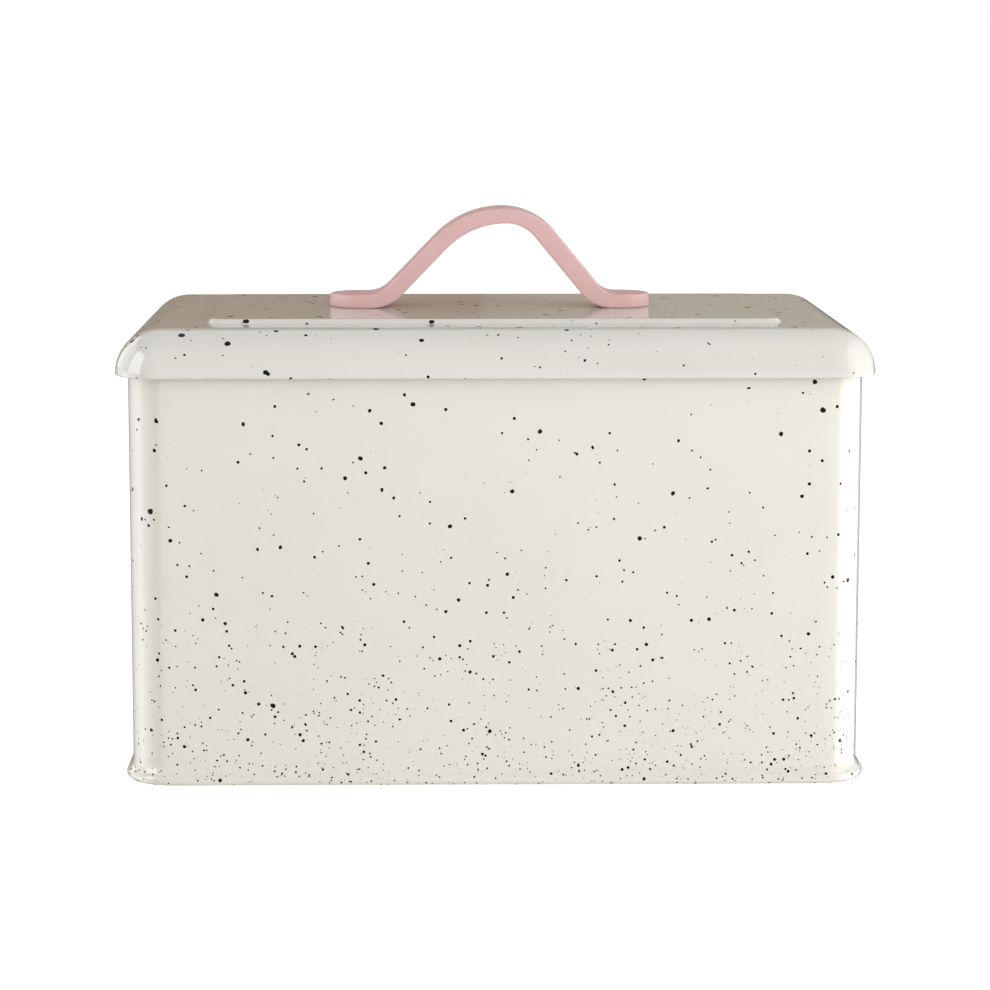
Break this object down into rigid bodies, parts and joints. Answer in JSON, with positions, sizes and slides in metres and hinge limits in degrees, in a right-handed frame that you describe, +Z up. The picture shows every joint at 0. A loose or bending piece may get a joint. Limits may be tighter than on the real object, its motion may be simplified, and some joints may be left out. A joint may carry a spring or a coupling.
{
  "type": "bread bin with lift-off lid",
  "caption": "Rectangular sheet steel bread bin with round corners, a rolled base bead and a lift-off lid that carries a bent strap handle.",
  "frame": {"origin": "on the table under the middle of the bin", "axes": "+Z up, +X along the long side, -Y is the front"},
  "size_m": [0.3376, 0.2016, 0.2521],
  "materials": {
    "cream_enamel": "gloss cream powder coat with fine black splatter",
    "pink_enamel": "satin pink paint",
    "wire_steel": "drawn steel wire",
    "screw_steel": "zinc plated steel"
  },
  "bodies": {
    "bin": {"body_shell": "cream_enamel", "rim_wire": "wire_steel", "base_pan": "cream_enamel"},
    "lid": {"lid_shell": "cream_enamel", "lid_collar": "cream_enamel", "handle": "pink_enamel", "handle_screw_left": "screw_steel", "handle_screw_right": "screw_steel", "handle_washer_left": "screw_steel", "handle_washer_right": "screw_steel"}
  },
  "joints": [
    {"name": "lid_lift", "type": "slide", "parent": "bin", "child": "lid", "axis": [0, 0, 1], "range_m": [0, 0.2]}
  ]
}
